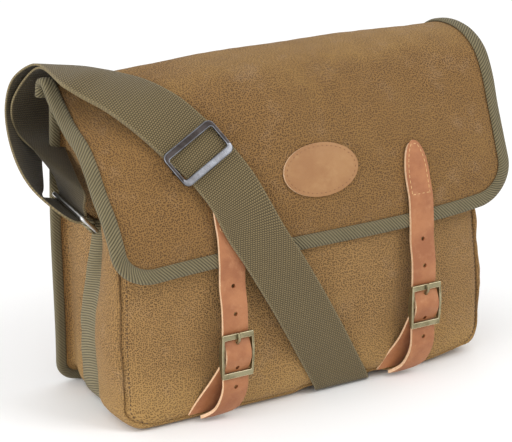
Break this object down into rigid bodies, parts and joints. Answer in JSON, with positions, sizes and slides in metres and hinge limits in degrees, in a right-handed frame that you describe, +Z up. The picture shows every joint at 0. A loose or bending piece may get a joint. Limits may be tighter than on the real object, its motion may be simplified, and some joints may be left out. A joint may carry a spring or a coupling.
{
  "type": "dog training bag",
  "caption": "Soft cloth shoulder bag with a bulging gusseted body, a wide bound flap, leather closing straps with buckles, and a webbing shoulder strap on rings.",
  "frame": {"origin": "on the ground under the middle of the bag, on the flat underside of the webbing band along its bottom", "axes": "+Z up, -Y to the front where the flap closes, +X to the right as seen from the front"},
  "size_m": [0.4803, 0.1966, 0.3052],
  "materials": {
    "cloth": "matte pored brown cloth",
    "webbing": "matte woven olive webbing",
    "leather": "smooth tan leather with pale raw edges",
    "patch_leather": "smooth light leather, blank",
    "brass": "aged, satin",
    "dark_steel": "dark gunmetal, satin",
    "steel": "plain, satin"
  },
  "bodies": {
    "root": {"front_panel": "cloth", "gusset": "cloth", "back_panel": "cloth", "flap": "cloth", "back_binding": "webbing", "flap_binding": "webbing", "gusset_webbing": "webbing", "shoulder_strap": "webbing", "left_ring_tab": "webbing", "right_ring_tab": "webbing", "oval_patch": "patch_leather", "left_flap_strap": "leather", "left_buckle_strap": "leather", "right_flap_strap": "leather", "right_buckle_strap": "leather", "left_buckle": "brass", "left_prong": "brass", "right_buckle": "brass", "right_prong": "brass", "slider": "dark_steel", "left_ring": "steel", "right_ring": "steel"}
  },
  "joints": []
}
